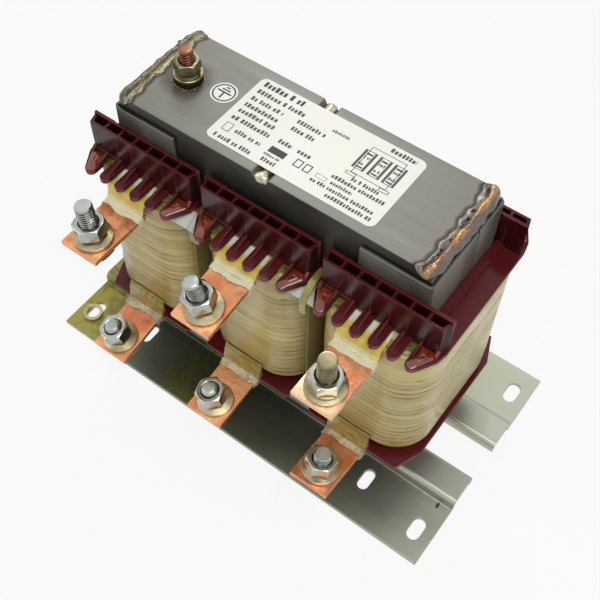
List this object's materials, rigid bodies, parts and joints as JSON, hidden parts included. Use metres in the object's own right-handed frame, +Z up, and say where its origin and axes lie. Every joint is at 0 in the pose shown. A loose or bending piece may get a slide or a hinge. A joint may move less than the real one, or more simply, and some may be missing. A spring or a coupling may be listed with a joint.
{
  "type": "line reactor",
  "caption": "Three-phase line reactor: wound coils on moulded comb formers round a laminated core, slotted bent-sheet mounting rails, and bolted copper bar terminals along one side.",
  "frame": {"origin": "centre of the bounding box at the level of the undersides of the mounting rails", "axes": "+X along the row of coils and the rails, +Y from the terminal side to the back, +Z up from the feet"},
  "size_m": [0.221, 0.1319, 0.1765],
  "materials": {
    "core_steel": "varnished laminations, satin",
    "air_gap_board": "pressed board",
    "weld_metal": "heat tinted weld bead",
    "angle_steel": "dark varnished sheet",
    "zinc_sheet": "zinc coated sheet, satin",
    "former_plastic": "moulded, varnish dipped",
    "film_wire": "film wrapped wire under varnish",
    "barrier_paper": "insulating sheet",
    "strip_glass": "varnished glass strip",
    "copper": "bare copper, satin",
    "sleeve_tape": "glass cloth tape",
    "zinc_bolt": "bright zinc plate",
    "washer_zinc": "passivated zinc plate",
    "stud_copper": "copper washed steel"
  },
  "bodies": {
    "root": {"core_e_stack": "core_steel", "core_top_yoke": "core_steel", "air_gap_board_1": "air_gap_board", "air_gap_board_2": "air_gap_board", "air_gap_board_3": "air_gap_board", "weld_left": "weld_metal", "weld_right": "weld_metal", "angle_front_left": "angle_steel", "angle_front_right": "angle_steel", "angle_back_left": "angle_steel", "angle_back_right": "angle_steel", "rail_front": "zinc_sheet", "rail_back": "zinc_sheet", "former_upper_1": "former_plastic", "former_upper_2": "former_plastic", "former_upper_3": "former_plastic", "former_lower_1": "former_plastic", "former_lower_2": "former_plastic", "former_lower_3": "former_plastic", "winding_1": "film_wire", "winding_2": "film_wire", "winding_3": "film_wire", "barrier_1": "barrier_paper", "barrier_2": "barrier_paper", "strip_1": "strip_glass", "strip_2": "strip_glass", "bar_u1": "copper", "bar_v1": "copper", "bar_w1": "copper", "bar_u2": "copper", "bar_v2": "copper", "bar_w2": "copper", "sleeve_u1": "sleeve_tape", "sleeve_v1": "sleeve_tape", "sleeve_w1": "sleeve_tape", "sleeve_u2": "sleeve_tape", "sleeve_v2": "sleeve_tape", "sleeve_w2": "sleeve_tape", "screw_u1": "zinc_bolt", "screw_v1": "zinc_bolt", "screw_w1": "zinc_bolt", "screw_u2": "zinc_bolt", "screw_v2": "zinc_bolt", "screw_w2": "zinc_bolt", "washer_u1": "washer_zinc", "washer_v1": "washer_zinc", "washer_w1": "washer_zinc", "washer_u2": "washer_zinc", "washer_v2": "washer_zinc", "washer_w2": "washer_zinc", "nut_u1": "zinc_bolt", "nut_v1": "zinc_bolt", "nut_w1": "zinc_bolt", "nut_u2": "zinc_bolt", "nut_v2": "zinc_bolt", "nut_w2": "zinc_bolt", "earth_stud": "stud_copper", "earth_washer": "washer_zinc", "earth_nut": "zinc_bolt", "foot_ring": "zinc_bolt"}
  },
  "joints": []
}
